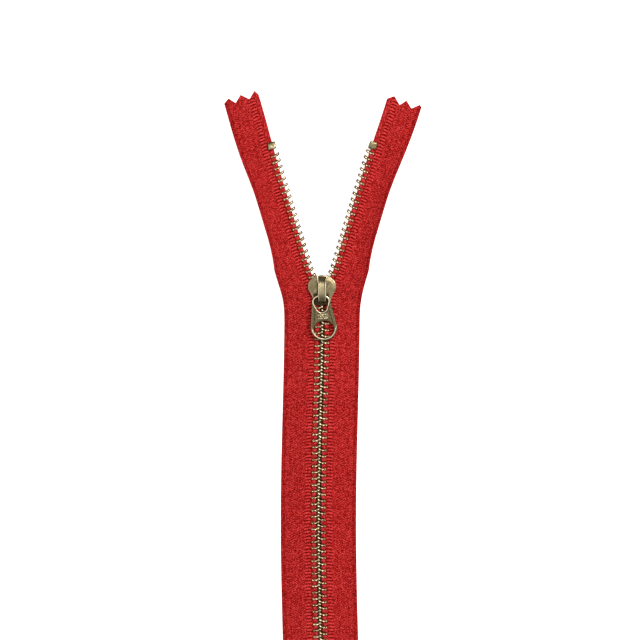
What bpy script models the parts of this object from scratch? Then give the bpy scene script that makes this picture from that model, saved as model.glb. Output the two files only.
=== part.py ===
"""Metal zipper with woven tape, a locking slider and a ring pull, lying flat and about a quarter open.

Frame: +X to the right across the tape, +Y along the chain in the closing direction, +Z up, out of the front.
The origin is on the back face of the slider, at its centre. Lengths below are in millimetres, and meshes are
written in metres. Everything on the two tapes is drawn as on the straight, closed zipper, in tape
coordinates (x from the chain's centre line, y along it), and the joints' empties then swing it open.
"""

import math

import bmesh
import bpy
from mathutils import Vector

MM = 0.001

# Chain and tape: the driving dimensions.
PITCH = 2.25                    # from one tooth to the next on the same tape
TOOTH_THICKNESS = 0.8
TAPE_EDGE = 13.45               # from the centre line to the tape's outer edge
TAPE_THICKNESS = 0.5
TAPE_Z = 2.5                    # height of the tape's middle plane
BEAD_INNER = 0.65               # the cord woven along the tape's inner edge, which the teeth grip
BEAD_OUTER = 1.75
BEAD_HALF_HEIGHT = 0.55
BEAD_LINE = 1.25                # the tapes swing about this line of the bead
GAP = 0.3                       # clearance between pieces that touch on the real object
LEG_END = 2.4                   # outer end of a tooth's legs
TAPE_INNER = LEG_END + 0.05     # the flat tape begins clear of the legs, and the bead fills the rest
FOLD_GAP = 0.6                  # between two lengths of tape that fold square to each other

# Where the tapes part and swing.
ARM_ANGLE = math.radians(16.8)
LEFT_PIVOT_Y = -5.0
RIGHT_PIVOT_Y = LEFT_PIVOT_Y + PITCH / 2
TEETH_PER_LENGTH = 21           # teeth on one tape between two joints
LENGTH = TEETH_PER_LENGTH * PITCH
TOP_TEETH = 4
LAST_STEM_TEETH = 20
STEM_HINGE_Y = [LEFT_PIVOT_Y - LENGTH * n + PITCH / 4 for n in (1, 2)]

# Ends of the zipper, in tape coordinates.
TOP_STOP_Y = 53.85
TOP_STOP_HALF_LENGTH = 1.37
TOP_FOLD_Y = 61.5
LEFT_END_Y = 74.6
RIGHT_END_Y = 72.9
BOTTOM_STOP_Y = -146.0
BOTTOM_STOP_HALF_LENGTH = 1.4
BOTTOM_FOLD_Y = -150.5
BOTTOM_END_Y = -167.0
PINK_DEPTH = 2.15
PINK_COUNT = 3

# Slider.
SLIDER_HALF_LENGTH = 5.35
PLATE_BACK = 0.9
CHANNEL_TOP = 4.1
PLATE_TOP = 5.1
FLANGE_LIP = 0.55               # half the slot between the flanges that the tape runs through
CROWN_HALF_WIDTH = 1.2
CROWN_TOP = 7.6
CROWN_WALL = 0.6

# Pull.
BAR_CENTRE = (-0.6, -2.05, 6.2)
PULL_THICKNESS = 1.0
PULL_YAW = math.radians(6.2)
PULL_TILT = math.radians(5.5)
BAR_U = 0.4                     # from the pull's top edge to the middle of its bar

COLOURS = {
    "antique_brass": ((0.26, 0.22, 0.12, 1.0), 0.38, 1.0),
    "tooth_brass": ((0.55, 0.42, 0.18, 1.0), 0.32, 1.0),
    "spring_steel": ((0.35, 0.34, 0.32, 1.0), 0.35, 1.0),
    "red_tape": ((0.45, 0.02, 0.02, 1.0), 0.85, 0.0),
}


def clear_scene():
    for item in list(bpy.data.objects):
        bpy.data.objects.remove(item, do_unlink=True)


def material(name):
    found = bpy.data.materials.get(name)
    if found:
        return found
    colour, roughness, metallic = COLOURS[name]
    made = bpy.data.materials.new(name)
    made.use_nodes = True
    shader = made.node_tree.nodes["Principled BSDF"]
    shader.inputs["Base Color"].default_value = colour
    shader.inputs["Roughness"].default_value = roughness
    shader.inputs["Metallic"].default_value = metallic
    made.diffuse_color = colour
    return made


def empty(name, location, rotation=(0.0, 0.0, 0.0), parent=None):
    """A joint's pivot, at a place in its parent's own axes."""
    pivot = bpy.data.objects.new(name, None)
    pivot.empty_display_size = 0.003
    bpy.context.scene.collection.objects.link(pivot)
    pivot.parent = parent
    pivot.location = Vector(location) * MM
    pivot.rotation_euler = rotation
    return pivot


def add_object(name, points, faces, finish, parent=None, origin=(0.0, 0.0, 0.0)):
    """A solid from points in millimetres, with its own origin moved to the pivot it hangs on."""
    mesh = bpy.data.meshes.new(name)
    start = Vector(origin)
    mesh.from_pydata([(Vector(point) - start) * MM for point in points], [], faces)
    work = bmesh.new()
    work.from_mesh(mesh)
    bmesh.ops.recalc_face_normals(work, faces=work.faces)
    work.to_mesh(mesh)
    work.free()
    made = bpy.data.objects.new(name, mesh)
    made.data.materials.append(material(finish))
    bpy.context.scene.collection.objects.link(made)
    made.parent = parent
    return made


def prism(outline, low, high, place):
    """Points and faces of an outline extruded from low to high; place turns (a, b, height) into (x, y, z)."""
    count = len(outline)
    points = [place(a, b, height) for height in (low, high) for a, b in outline]
    faces = [tuple(range(count))[::-1], tuple(range(count, 2 * count))]
    for n in range(count):
        after = (n + 1) % count
        faces.append((n, after, count + after, count + n))
    return points, faces


def flat(a, b, height):
    return (a, b, height)


def along_y(a, b, height):
    return (a, height, b)


def along_x(a, b, height):
    return (height, a, b)


def mirrored(points, side):
    return [(side * x, y, z) for x, y, z in points]


def arc(centre, radii, start, stop, steps, power=2.0):
    """Points of a superellipse's arc between two angles in degrees; a power of 2 gives a plain ellipse."""
    points = []
    for n in range(steps + 1):
        angle = math.radians(start + (stop - start) * n / steps)
        across, up = math.cos(angle), math.sin(angle)
        points.append((
            centre[0] + radii[0] * math.copysign(abs(across) ** (2 / power), across),
            centre[1] + radii[1] * math.copysign(abs(up) ** (2 / power), up),
        ))
    return points


def boolean(target, tool, operation):
    """Joins or cuts with a hidden tool, which shares the target's parent."""
    tool.hide_render = True
    tool.display_type = "WIRE"
    step = target.modifiers.new(tool.name, "BOOLEAN")
    step.operation = operation
    step.object = tool
    step.solver = "EXACT"


# ---------------------------------------------------------------- tape

def pinked_edge(inner, end_y, direction):
    """Zigzag end of a tape from its inner edge to its outer edge, cut with pinking shears."""
    width = (TAPE_EDGE - inner) / PINK_COUNT
    points = []
    for n in range(PINK_COUNT):
        points.append((inner + n * width, end_y - direction * PINK_DEPTH))
        points.append((inner + (n + 0.5) * width, end_y))
    points.append((TAPE_EDGE, end_y - direction * PINK_DEPTH))
    return points


def slanted_edge(y, direction):
    """End of a tape at a swing joint, cut back by half the arm's angle so that the tapes never meet."""
    slope = math.tan(ARM_ANGLE / 2)
    return [(x, y + direction * (GAP / 2 + slope * (x - BEAD_LINE))) for x in (TAPE_INNER, TAPE_EDGE)]


def square_edge(inner, y, direction, gap=GAP):
    return [(inner, y + direction * gap / 2), (TAPE_EDGE, y + direction * gap / 2)]


def tape(name, side, low_edge, high_edge, parent, origin, step_y=None):
    """A flat piece of tape. Past step_y, where no teeth grip it, the tape keeps its own inner bead."""
    outline = low_edge + high_edge[::-1]
    if step_y is not None:
        beyond, along = BEAD_INNER, TAPE_INNER
        ends_high = high_edge[0][0] < along
        outline += [(beyond, step_y), (along, step_y)] if ends_high else [(along, step_y), (beyond, step_y)]
    half = TAPE_THICKNESS / 2
    points, faces = prism(outline, TAPE_Z - half, TAPE_Z + half, flat)
    return add_object(name, mirrored(points, side), faces, "red_tape", parent, origin)


# ---------------------------------------------------------------- teeth

HEAD_TIP = -0.62
HEAD_HALF_HEIGHT = 0.8
TOOTH_HALF_HEIGHT = 1.3
SHOULDER = 0.5


def comb(name, side, first_y, count, low_y, high_y, parent, origin):
    """A run of teeth clamped on the tape's bead, as one body: one slab for each tooth, joined by the bead."""
    rail = [(BEAD_INNER, BEAD_HALF_HEIGHT), (BEAD_OUTER, BEAD_HALF_HEIGHT),
            (BEAD_OUTER, -BEAD_HALF_HEIGHT), (BEAD_INNER, -BEAD_HALF_HEIGHT)]
    upper = [(HEAD_TIP, HEAD_HALF_HEIGHT), (SHOULDER, TOOTH_HALF_HEIGHT),
             (LEG_END, TOOTH_HALF_HEIGHT), (LEG_END, BEAD_HALF_HEIGHT)]
    lower = [(x, -z) for x, z in reversed(upper)]
    # The slab's own outline runs round both legs; the bead's four corners are points 8 to 11.
    section = upper + lower + rail
    cap = (0, 1, 2, 3, 9, 8, 11, 10, 4, 5, 6, 7)
    sides = [(0, 1), (1, 2), (2, 3), (3, 9), (9, 10), (10, 4), (4, 5), (5, 6), (6, 7), (7, 0)]
    points = []
    faces = []

    def add_ring(outline, y):
        start = len(points)
        points.extend((x, y, TAPE_Z + z) for x, z in outline)
        return start

    def bridge(first, second, pairs):
        for a, b in pairs:
            faces.append((first + a, first + b, second + b, second + a))

    around = [(n, (n + 1) % 4) for n in range(4)]
    previous = add_ring(rail, low_y)
    faces.append(tuple(previous + n for n in range(4)))
    for n in range(count):
        centre = first_y + n * PITCH
        near = add_ring(section, centre - TOOTH_THICKNESS / 2)
        far = add_ring(section, centre + TOOTH_THICKNESS / 2)
        bridge(previous, near + 8, around)
        faces.append(tuple(near + n for n in cap))
        bridge(near, far, sides)
        faces.append(tuple(far + n for n in reversed(cap)))
        previous = far + 8
    last = add_ring(rail, high_y)
    bridge(previous, last, around)
    faces.append(tuple(last + n for n in reversed(range(4))))
    return add_object(name, mirrored(points, side), faces, "tooth_brass", parent, origin)


def top_stop(name, side, parent, origin):
    """The clamp above the last tooth that stops the slider."""
    inner, outer, half_height = -0.35, 2.65, 1.35
    outline = [(inner, -half_height), (inner, half_height), (outer, half_height), (outer, BEAD_HALF_HEIGHT),
               (BEAD_OUTER, BEAD_HALF_HEIGHT), (BEAD_OUTER, -BEAD_HALF_HEIGHT),
               (outer, -BEAD_HALF_HEIGHT), (outer, -half_height)]
    outline = [(x, TAPE_Z + z) for x, z in outline]
    points, faces = prism(outline, TOP_STOP_Y - TOP_STOP_HALF_LENGTH, TOP_STOP_Y + TOP_STOP_HALF_LENGTH, along_y)
    return add_object(name, mirrored(points, side), faces, "tooth_brass", parent, origin)


def bottom_stop(parent, origin):
    """The clamp over both beads that ends the chain and keeps the slider on."""
    outer, half_height = 2.65, 1.45
    right = [(outer, half_height), (outer, BEAD_HALF_HEIGHT), (BEAD_OUTER, BEAD_HALF_HEIGHT),
             (BEAD_OUTER, -BEAD_HALF_HEIGHT), (outer, -BEAD_HALF_HEIGHT), (outer, -half_height)]
    outline = right + [(-x, z) for x, z in reversed(right)]
    outline = [(x, TAPE_Z + z) for x, z in outline]
    low = BOTTOM_STOP_Y - BOTTOM_STOP_HALF_LENGTH
    points, faces = prism(outline, low, BOTTOM_STOP_Y + BOTTOM_STOP_HALF_LENGTH, along_y)
    return add_object("bottom_stop", points, faces, "tooth_brass", parent, origin)


# ---------------------------------------------------------------- slider

def slider_outline():
    """Shield shape of the slider's plates: narrow over the closed chain, with round shoulders at the mouth."""
    foot = [(3.2, -SLIDER_HALF_LENGTH), (3.5, -3.6), (3.85, -2.4), (4.6, -0.2), (5.0, 0.2), (5.0, 2.2)]
    shoulder = arc((1.8, 2.2), (3.2, SLIDER_HALF_LENGTH - 2.2), 0, 90, 6, power=1.9)[1:]
    right = foot + shoulder
    return right + [(-x, y) for x, y in reversed(right)]


def divider_outline(reach):
    """Wedge at the mouth that parts the teeth and joins the two plates, open towards +Y up to reach."""
    return [(-1.35, reach), (-1.35, 5.0), (-0.25, 1.3), (0.25, 1.3), (1.35, 5.0), (1.35, reach)]


def add_slider_body(parent):
    body = add_object("slider_body", *prism(slider_outline(), 0.0, PLATE_TOP, flat), "antique_brass", parent)
    past = SLIDER_HALF_LENGTH + 1.0
    wide = 7.0
    mouth = [(-wide, 1.0), (-wide, past)] + divider_outline(past) + [(wide, past), (wide, 1.0)]
    foot = [(4.6, 1.0), (4.25, -0.2), (3.55, -2.4), (3.1, -3.8), (2.7, -SLIDER_HALF_LENGTH), (2.7, -past)]
    channel = mouth + foot + [(-x, y) for x, y in reversed(foot)]
    slot = [(-wide, -past), (-wide, past)] + divider_outline(past) + [(wide, past), (wide, -past)]
    cuts = {
        "channel_cut": prism(channel, PLATE_BACK, CHANNEL_TOP, flat),
        "tape_slot_cut": prism(slot, TAPE_Z - FLANGE_LIP, TAPE_Z + FLANGE_LIP, flat),
        "pawl_slot_cut": prism([(-0.1, -1.3), (1.2, -1.3), (1.2, 0.0), (-0.1, 0.0)], 3.5, 5.8, flat),
    }
    for name, shape in cuts.items():
        boolean(body, add_object(name, *shape, "antique_brass", parent), "DIFFERENCE")
    lug = [(-2.0, 2.3), (-1.5, 2.3), (-1.5, 4.4), (1.5, 4.4), (1.5, 2.3), (2.0, 2.3), (2.0, 4.9), (-2.0, 4.9)]
    lugs = add_object("lugs", *prism(lug, PLATE_TOP - 0.3, 6.2, flat), "antique_brass", parent)
    boolean(body, lugs, "UNION")
    return body


def add_crown(parent):
    """The bridge over the slider that the pull's ring hangs on, seen from the side and given its width."""
    foot = PLATE_TOP + GAP
    outer = [(3.9, foot), (3.9, 6.2), (3.3, 6.95), (2.0, 7.45), (0.5, CROWN_TOP), (-2.3, CROWN_TOP),
             (-3.6, 7.3), (-4.4, 6.6), (-4.75, foot)]
    inner = [(-4.15, foot), (-3.85, 6.35), (-3.2, 6.85), (-2.3, CROWN_TOP - CROWN_WALL),
             (0.5, CROWN_TOP - CROWN_WALL), (1.8, 6.85), (2.9, 6.4), (3.3, 6.0), (3.3, foot)]
    shape = prism(outer + inner, -CROWN_HALF_WIDTH, CROWN_HALF_WIDTH, along_x)
    return add_object("crown", *shape, "antique_brass", parent)


LOCK_PIVOT = (0.55, 2.4, 5.75)


def add_lock_spring(parent):
    """Leaf under the crown whose pawl reaches down through the top plate and holds the chain."""
    profile = [(2.6, 5.6), (-0.4, 5.6), (-0.4, 4.3), (-0.9, 4.3), (-0.9, 5.6), (-1.3, 5.6), (-1.3, 5.9), (2.6, 5.9)]
    return add_object("lock_spring", *prism(profile, 0.2, 0.9, along_x), "spring_steel", parent, LOCK_PIVOT)


# ---------------------------------------------------------------- pull

def pull_outline():
    """Flat outline of the pull, from its small ring end at u = 0 down to its wide round end."""
    top = arc((0.0, -2.7), (3.28, 2.7), 180, 0, 14, power=2.2)
    wide_end = arc((0.0, -11.75), (4.75, 4.75), 9.4, -189.4, 20)
    return top + wide_end


def eye_outline():
    """Egg-shaped opening that rides on the crown."""
    return arc((0.0, -2.7), (2.58, 1.9), 180, 0, 12, power=2.6) + arc((0.0, -4.65), (1.75, 1.6), -12, -168, 8)


def finger_hole_outline():
    return arc((0.0, -12.45), (3.5, 3.1), 0, 360, 24)[:-1]


def add_pull(parent):
    half = PULL_THICKNESS / 2
    origin = (0.0, -BAR_U, 0.0)
    pull = add_object("pull_tab", *prism(pull_outline(), -half, half, flat), "antique_brass", parent, origin)
    for name, outline in (("eye_cut", eye_outline()), ("finger_hole_cut", finger_hole_outline())):
        cutter = add_object(name, *prism(outline, -2 * half, 2 * half, flat), "antique_brass", parent, origin)
        boolean(pull, cutter, "DIFFERENCE")
    return pull


# ---------------------------------------------------------------- assembly

def add_side(side, word, pivot_y, end_y):
    """Everything on one tape: stem, arm, top with its stop, and the tail that folds."""
    first = pivot_y + PITCH / 2
    low = pivot_y - LENGTH

    # Stem, the closed chain: three lengths that bend at two hinges shared with the other tape.
    hinges = [empty(f"stem_hinge_{n + 2}_{word}", (0, y, TAPE_Z)) for n, y in enumerate(STEM_HINGE_Y)]
    ends = [pivot_y, *STEM_HINGE_Y]
    for n, count in enumerate((TEETH_PER_LENGTH, TEETH_PER_LENGTH, LAST_STEM_TEETH)):
        parent, origin = (None, (0, 0, 0)) if n == 0 else (hinges[n - 1], (0, ends[n], TAPE_Z))
        top = first - PITCH - n * LENGTH
        last = n == 2
        lowest = BOTTOM_STOP_Y + BOTTOM_STOP_HALF_LENGTH + GAP if last else ends[n + 1] + GAP / 2
        comb(f"stem_{n + 1}_teeth_{word}", side, top - (count - 1) * PITCH, count,
             lowest, ends[n] - GAP / 2, parent, origin)
        high_edge = slanted_edge(pivot_y, -1) if n == 0 else square_edge(TAPE_INNER, ends[n], -1)
        if last:
            step = BOTTOM_STOP_Y - BOTTOM_STOP_HALF_LENGTH - GAP
            low_edge = square_edge(BEAD_INNER, BOTTOM_FOLD_Y, 1, FOLD_GAP)
        else:
            step = None
            low_edge = square_edge(TAPE_INNER, ends[n + 1], 1)
        tape(f"stem_{n + 1}_tape_{word}", side, low_edge, high_edge, parent, origin, step)

    fold = empty(f"bottom_fold_{word}", (0, BOTTOM_FOLD_Y - STEM_HINGE_Y[1], 0), parent=hinges[1])
    tape(f"bottom_tail_{word}", side, pinked_edge(BEAD_INNER, BOTTOM_END_Y, -1),
         square_edge(BEAD_INNER, BOTTOM_FOLD_Y, -1, FOLD_GAP), fold, (0, BOTTOM_FOLD_Y, TAPE_Z))

    # Arm, the open length that closes as the slider comes up.
    bead = side * BEAD_LINE
    arm = empty(f"{word}_arm_pivot", (bead, pivot_y, TAPE_Z), (0, 0, -side * ARM_ANGLE))
    origin = (bead, pivot_y, TAPE_Z)
    joint_y = pivot_y + LENGTH
    comb(f"{word}_arm_teeth", side, first, TEETH_PER_LENGTH, pivot_y + GAP / 2, joint_y - GAP / 2, arm, origin)
    tape(f"{word}_arm_tape", side, slanted_edge(pivot_y, 1), slanted_edge(joint_y, -1), arm, origin)

    # Top, which stays parted round the slider when the zipper is closed, and carries the top stop.
    top_pivot = empty(f"{word}_top_pivot", (0, LENGTH, 0), parent=arm)
    origin = (bead, joint_y, TAPE_Z)
    stop_low = TOP_STOP_Y - TOP_STOP_HALF_LENGTH
    comb(f"{word}_top_teeth", side, joint_y + PITCH / 2, TOP_TEETH,
         joint_y + GAP / 2, stop_low - GAP, top_pivot, origin)
    tape(f"{word}_top_tape", side, slanted_edge(joint_y, 1), square_edge(BEAD_INNER, TOP_FOLD_Y, -1, FOLD_GAP),
         top_pivot, origin, TOP_STOP_Y + TOP_STOP_HALF_LENGTH + GAP)
    top_stop(f"{word}_top_stop", side, top_pivot, origin)

    tail_pivot = empty(f"{word}_tail_pivot", (0, TOP_FOLD_Y - joint_y, 0), parent=top_pivot)
    tape(f"{word}_tail_tape", side, square_edge(BEAD_INNER, TOP_FOLD_Y, 1, FOLD_GAP),
         pinked_edge(BEAD_INNER, end_y, 1), tail_pivot, (bead, TOP_FOLD_Y, TAPE_Z))


def add_slider():
    slider = empty("slider_origin", (0, 0, 0))
    add_slider_body(slider)
    add_crown(slider)
    add_lock_spring(empty("lock_pivot", LOCK_PIVOT, parent=slider))
    add_pull(empty("pull_pivot", BAR_CENTRE, (PULL_TILT, 0, PULL_YAW), slider))


def main():
    clear_scene()
    add_side(-1, "left", LEFT_PIVOT_Y, LEFT_END_Y)
    add_side(1, "right", RIGHT_PIVOT_Y, RIGHT_END_Y)
    stem_end = empty("stem_hinge_3", (0, STEM_HINGE_Y[1], TAPE_Z))
    bottom_stop(stem_end, (0, STEM_HINGE_Y[1], TAPE_Z))
    add_slider()


main()
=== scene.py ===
"""Looks of the zipper: red woven tapes, brass teeth and stops, an antique brass slider and its ring pull.

Lengths are in millimetres and meshes are written in metres. The stage, lights and camera are in metres. Tape,
bead and teeth are drawn as on the straight, closed zipper, in tape coordinates: x outward from the chain's
centre line, s along the tape, h above the tape's middle surface. lay_out() then opens, curls and settles them
as they lie, in the frame of the CAD model.
"""

import math

import bmesh
import bpy
import numpy as np
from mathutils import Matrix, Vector, geometry


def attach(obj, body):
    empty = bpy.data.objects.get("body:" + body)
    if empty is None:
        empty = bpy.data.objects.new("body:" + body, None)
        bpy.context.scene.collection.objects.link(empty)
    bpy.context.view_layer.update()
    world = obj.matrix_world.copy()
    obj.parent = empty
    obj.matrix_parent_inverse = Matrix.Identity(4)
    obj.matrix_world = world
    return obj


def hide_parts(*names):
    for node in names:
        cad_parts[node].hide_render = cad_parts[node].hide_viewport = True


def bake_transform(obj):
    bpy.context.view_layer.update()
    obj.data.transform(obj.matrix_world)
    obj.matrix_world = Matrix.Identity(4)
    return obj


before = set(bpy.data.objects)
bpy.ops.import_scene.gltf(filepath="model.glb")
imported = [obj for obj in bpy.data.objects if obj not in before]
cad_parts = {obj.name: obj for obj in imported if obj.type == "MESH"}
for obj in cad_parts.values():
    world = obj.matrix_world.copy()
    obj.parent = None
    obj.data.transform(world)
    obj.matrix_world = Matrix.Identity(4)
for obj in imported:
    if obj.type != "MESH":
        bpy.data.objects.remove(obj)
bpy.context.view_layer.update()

MM = 0.001

# Driving dimensions, the same as the CAD model's.
PITCH = 2.25
TAPE_EDGE = 13.45
TAPE_Z = 2.5
BEAD_LINE = 1.25
ARM_ANGLE = math.radians(16.8)
PIVOT_Y = {"left": -5.0, "right": -3.875}
LENGTH = 21 * PITCH     # from a tape's lower joint to the one above it
ARM_TEETH = 25
STEM_TEETH = 62
TOP_STOP_Y = 53.85
BOTTOM_STOP_Y = -146.0
TOP_END_Y = {"left": 74.6, "right": 72.9}
BOTTOM_END_Y = -167.0
BAR_CENTRE = (-0.6, -2.05, 6.2)
BAR_U = 0.4             # from the pull's top edge to the middle of its bar
PULL_YAW = math.radians(6.2)
PULL_TILT = math.radians(5.5)
PLATE_TOP = 5.1
CHANNEL_TOP = 4.1       # underside of the slider's top plate
PLATE_BACK = 0.9        # upper side of the slider's back plate

SIDES = {"left": -1, "right": 1}
OPEN_END_Y = 8.0        # past this the arms are straight


def smooth(t):
    t = np.clip(t, 0.0, 1.0)
    return t * t * (3.0 - 2.0 * t)


def between(value, start, stop):
    """0 before start, 1 past stop, and smooth from one to the other."""
    return smooth((np.asarray(value, float) - start) / (stop - start))


# ---------------------------------------------------------------- how the tapes lie

BOW_FROM, BOW_LENGTH = -5.0, 155.0
STEM_BOW = 1.3          # how far the closed chain bows to the left
TAIL_SHIFT = 0.65       # how far the tails lie to the right
SAG = 1.1               # the chain sinks to the floor away from the slider
RIPPLE = 0.35           # height of the waves in the tape beside the slider
RIPPLE_LENGTH = 8.5
CURL_STARTS = (-8, 24)  # along the tape, where the arm's outer edge begins to rise and has risen
CURL_STOPS = (36, 68)   # where it begins to fall and has fallen
CURL_FROM = 5.0         # across the tape, where the curl begins
CURL_WIDTH = TAPE_EDGE - CURL_FROM
CURL_ANGLE = 0.85       # steepest rise of an arm's outer edge, in radians
PINCH = 0.8             # how much narrower the arms are drawn in by their curl and crimp
EDGE_REST = 0.4         # height of the tape's middle where it lies on the floor
FLARE = 1.15            # the outer edges stand out beside the slider, where the arms begin


def bow(y):
    """The slight sideways bend of the chain below the slider, and of the tails."""
    down = np.clip((BOW_FROM - y) / BOW_LENGTH, 0.0, 1.0)
    return -STEM_BOW * np.sin(np.pi * down) ** 2 + TAIL_SHIFT * between(y, 40, 68)


def middle_height(x, s):
    """Height of the tape's middle surface before the arms' outer edges curl."""
    sunk = SAG * between(np.abs(s), 10, 50)
    tails = (TAPE_Z - SAG - EDGE_REST) * (between(s, 58, 70) + between(-s, 149, 160))
    height = TAPE_Z - sunk - tails
    stem = 1.0 - between(s, -14, 3)
    drape = (height - EDGE_REST) * stem * between(x, 2.6, 11.5)
    wave = np.sin(2 * np.pi * (s + 0.25 * x) / RIPPLE_LENGTH)
    ripple = RIPPLE * wave * between(x, 5, 11) * np.exp(-((s - 2) / 9) ** 2)
    return height - drape + ripple


def lay_out(word, x, s, h):
    """Points of one tape, from tape coordinates to where they lie, as an array of positions."""
    side = SIDES[word]
    pivot = PIVOT_Y[word]
    opened = between(s, *CURL_STARTS) * (1 - between(s, *CURL_STOPS))
    angle = np.maximum(CURL_ANGLE * opened, 1e-4)
    beyond = np.maximum(x - CURL_FROM, 0.0) / CURL_WIDTH
    slope = angle * beyond
    across = np.minimum(x, CURL_FROM) + CURL_WIDTH * np.sin(slope) / angle - h * np.sin(slope)
    z = middle_height(x, s) + CURL_WIDTH * (1 - np.cos(slope)) / angle + h * np.cos(slope)
    across = across - PINCH * opened * between(x, CURL_FROM, TAPE_EDGE)
    out = across - BEAD_LINE
    along = s - pivot
    up = along.copy()
    for _ in range(40):
        turn = ARM_ANGLE * smooth(up / (OPEN_END_Y - pivot))
        up = along * np.cos(turn) - out * np.sin(turn)
    y = pivot + up
    across = BEAD_LINE + out * np.cos(turn) + along * np.sin(turn)
    across += FLARE * np.exp(-((y - 1.0) / 5.5) ** 2) * between(x, 4, TAPE_EDGE)
    return np.stack([side * across + bow(y), y, z], axis=-1)


def place(word, x, s):
    """One point of the tape's middle plane at rest, in metres, without its sag and curl."""
    point = lay_out(word, np.array([float(x)]), np.array([float(s)]), np.array([0.0]))[0]
    return (point[0] * MM, point[1] * MM, TAPE_Z * MM)


# ---------------------------------------------------------------- meshes

def make_piece(name, points, faces, finish, flip=False):
    """A mesh object from points in millimetres; flip turns its faces for a mirrored side."""
    mesh = bpy.data.meshes.new(name)
    points = np.asarray(points, float) * MM
    if flip:
        faces = [tuple(reversed(face)) for face in faces]
    mesh.from_pydata(points.tolist(), [], faces)
    mesh.materials.append(finish)
    made = bpy.data.objects.new(name, mesh)
    bpy.context.scene.collection.objects.link(made)
    mesh.shade_smooth()
    return made


def store(piece, name, values):
    """A number for each vertex, which the materials read."""
    attribute = piece.data.attributes.new(name, "FLOAT", "POINT")
    attribute.data.foreach_set("value", np.asarray(values, np.float32))


def store_places(piece, name, across, along):
    """The vertices' places on the flat tape, which the weave's finest threads are drawn in."""
    attribute = piece.data.attributes.new(name, "FLOAT_VECTOR", "POINT")
    flat = np.stack([across, along, np.zeros_like(along)], axis=-1)
    attribute.data.foreach_set("vector", flat.astype(np.float32).ravel())


def grid_faces(rows, columns):
    """Quads of a closed shell made of an upper and a lower grid, joined round their rims."""
    def at(layer, row, column):
        return layer * rows * columns + row * columns + column

    faces = []
    for r in range(rows - 1):
        for c in range(columns - 1):
            faces.append((at(0, r, c), at(0, r, c + 1), at(0, r + 1, c + 1), at(0, r + 1, c)))
            faces.append((at(1, r, c), at(1, r + 1, c), at(1, r + 1, c + 1), at(1, r, c + 1)))
    for c in range(columns - 1):
        last = rows - 1
        faces.append((at(0, 0, c), at(1, 0, c), at(1, 0, c + 1), at(0, 0, c + 1)))
        faces.append((at(0, last, c), at(0, last, c + 1), at(1, last, c + 1), at(1, last, c)))
    for r in range(rows - 1):
        last = columns - 1
        faces.append((at(0, r, 0), at(0, r + 1, 0), at(1, r + 1, 0), at(1, r, 0)))
        faces.append((at(0, r, last), at(1, r, last), at(1, r + 1, last), at(0, r + 1, last)))
    return faces


def loft_faces(rings, count):
    """Faces of a closed solid made of rings of count points each: quads between the rings, and two caps."""
    faces = [tuple(range(count))[::-1]]
    for ring in range(rings - 1):
        for n in range(count):
            after = (n + 1) % count
            a, b = ring * count, (ring + 1) * count
            faces.append((a + n, a + after, b + after, b + n))
    last = (rings - 1) * count
    faces.append(tuple(range(last, last + count)))
    return faces


# ---------------------------------------------------------------- materials

def node_maker(material):
    tree = material.node_tree

    def add(kind, **values):
        made = tree.nodes.new(kind)
        for name, value in values.items():
            setattr(made, name, value)
        return made

    def link(source, output, target, socket):
        tree.links.new(source.outputs[output], target.inputs[socket])

    return add, link


def new_material(name):
    made = bpy.data.materials.new(name)
    made.use_nodes = True
    add, link = node_maker(made)
    return made, made.node_tree.nodes["Principled BSDF"], add, link


def coloured(add, link, value, colours, shader):
    """Colours the shader by a value: the first colour at 0, the second at 0.5 and the third at 1."""
    ramp = add("ShaderNodeValToRGB")
    ramp.color_ramp.elements[0].color = colours[0]
    ramp.color_ramp.elements[1].color = colours[2]
    ramp.color_ramp.elements.new(0.5).color = colours[1]
    link(value, "Value", ramp, "Fac")
    link(ramp, "Color", shader, "Base Color")


def bumped(add, link, texture, output, strength, depth, shader):
    """Gives the shader a fine relief from a texture, with its depth in millimetres."""
    bump = add("ShaderNodeBump")
    bump.inputs["Strength"].default_value = strength
    bump.inputs["Distance"].default_value = depth * MM
    link(texture, output, bump, "Height")
    link(bump, "Normal", shader, "Normal")


def times_plus(add, link, source, output, share, shift):
    """A value times share, plus shift."""
    made = add("ShaderNodeMath", operation="MULTIPLY_ADD")
    link(source, output, made, 0)
    made.inputs[1].default_value = share
    made.inputs[2].default_value = shift
    return made


# ---------------------------------------------------------------- tape

TAPE_COLOURS = ((0.130, 0.0005, 0.0005, 1), (0.375, 0.0085, 0.0080, 1), (0.760, 0.060, 0.056, 1))


def tape_material():
    """Red polyester: light and dark threads from the tone_and_shade attribute, which holds painted shade and
    highlight of the weave's relief besides its own pattern, and fine spots where threads cross.
    """
    made, shader, add, link = new_material("red_weave")
    shader.inputs["Roughness"].default_value = 0.82
    shader.inputs["Specular IOR Level"].default_value = 0.05
    tone_and_shade = add("ShaderNodeAttribute", attribute_name="tone_and_shade")
    flat = add("ShaderNodeAttribute", attribute_name="tape_place")
    spots = add("ShaderNodeTexVoronoi")
    spots.inputs["Scale"].default_value = 4.0
    link(flat, "Vector", spots, "Vector")
    parts = add("ShaderNodeSeparateColor")
    link(spots, "Color", parts, "Color")
    patch = add("ShaderNodeTexNoise")
    patch.inputs["Scale"].default_value = 0.16
    patch.inputs["Detail"].default_value = 2.0
    link(flat, "Vector", patch, "Vector")
    yarn_shift = times_plus(add, link, parts, "Red", 0.9, -0.46)
    patch_shift = times_plus(add, link, patch, "Fac", 0.06, -0.03)
    first = add("ShaderNodeMath", operation="ADD")
    link(tone_and_shade, "Fac", first, 0)
    link(yarn_shift, "Value", first, 1)
    total = add("ShaderNodeMath", operation="ADD")
    link(first, "Value", total, 0)
    link(patch_shift, "Value", total, 1)
    coloured(add, link, total, TAPE_COLOURS, shader)
    bumped(add, link, parts, "Green", 0.35, 0.08, shader)
    return made


RED_WEAVE = tape_material()

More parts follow.
